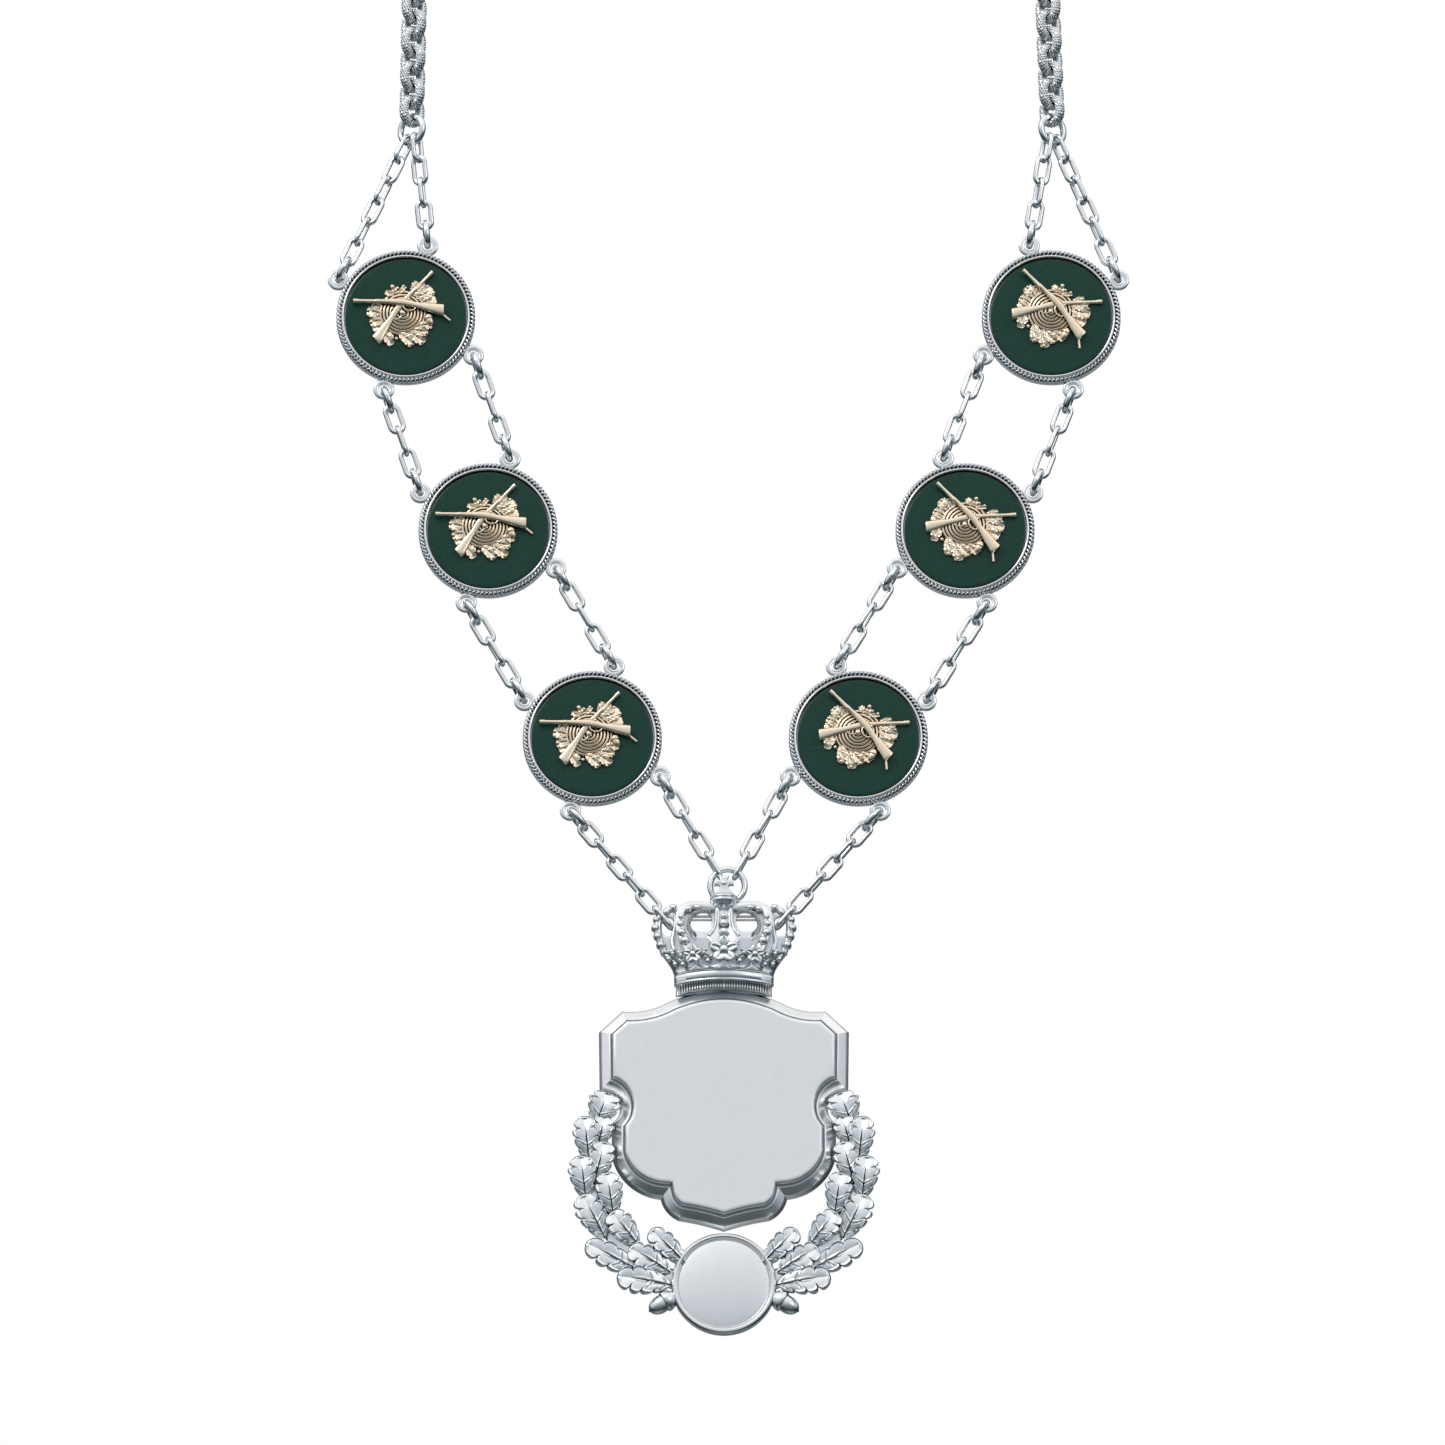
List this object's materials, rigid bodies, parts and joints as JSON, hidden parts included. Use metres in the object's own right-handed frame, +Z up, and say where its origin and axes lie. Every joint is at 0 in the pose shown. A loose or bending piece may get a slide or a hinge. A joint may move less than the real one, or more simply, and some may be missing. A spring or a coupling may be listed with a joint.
{
  "type": "shooting guild chain",
  "caption": "Ceremonial neck chain with enamelled target medallions joined by link strands, and a crowned shield pendant in an oak wreath.",
  "frame": {"origin": "middle of the closing ring at the nape, where the chain hangs round a neck or on a hook", "axes": "+X to the right as seen from the front, -Y forward out of the medallions and the shield, +Z up"},
  "size_m": [0.2012, 0.158, 0.5043],
  "materials": {
    "medallion_silver": "polished silver plate",
    "green_enamel": "glossy dark green enamel",
    "gilt_motif": "matt and bright gilding",
    "strand_silver": "polished silver plate",
    "ring_silver": "polished silver plate",
    "neck_chain_silver": "knurled outside, polished inside",
    "pendant_silver": "satin plates, bright edges, oxidised hollows"
  },
  "bodies": {
    "root": {"medallion_rim_left_upper": "medallion_silver", "enamel_left_upper": "green_enamel", "motif_left_upper": "gilt_motif", "medallion_rim_left_middle": "medallion_silver", "enamel_left_middle": "green_enamel", "motif_left_middle": "gilt_motif", "medallion_rim_left_lower": "medallion_silver", "enamel_left_lower": "green_enamel", "motif_left_lower": "gilt_motif", "medallion_rim_right_upper": "medallion_silver", "enamel_right_upper": "green_enamel", "motif_right_upper": "gilt_motif", "medallion_rim_right_middle": "medallion_silver", "enamel_right_middle": "green_enamel", "motif_right_middle": "gilt_motif", "medallion_rim_right_lower": "medallion_silver", "enamel_right_lower": "green_enamel", "motif_right_lower": "gilt_motif", "strand_left_top_outer": "strand_silver", "strand_left_top_inner": "strand_silver", "strand_left_upper_outer": "strand_silver", "strand_left_upper_inner": "strand_silver", "strand_left_lower_outer": "strand_silver", "strand_left_lower_inner": "strand_silver", "strand_left_crown_outer": "strand_silver", "strand_left_crown_inner": "strand_silver", "strand_right_top_outer": "strand_silver", "strand_right_top_inner": "strand_silver", "strand_right_upper_outer": "strand_silver", "strand_right_upper_inner": "strand_silver", "strand_right_lower_outer": "strand_silver", "strand_right_lower_inner": "strand_silver", "strand_right_crown_outer": "strand_silver", "strand_right_crown_inner": "strand_silver", "connecting_ring_left": "ring_silver", "neck_chain_left": "neck_chain_silver", "connecting_ring_right": "ring_silver", "neck_chain_right": "neck_chain_silver", "clasp_ring": "ring_silver", "crown_ring": "ring_silver", "pendant": "pendant_silver"}
  },
  "joints": []
}
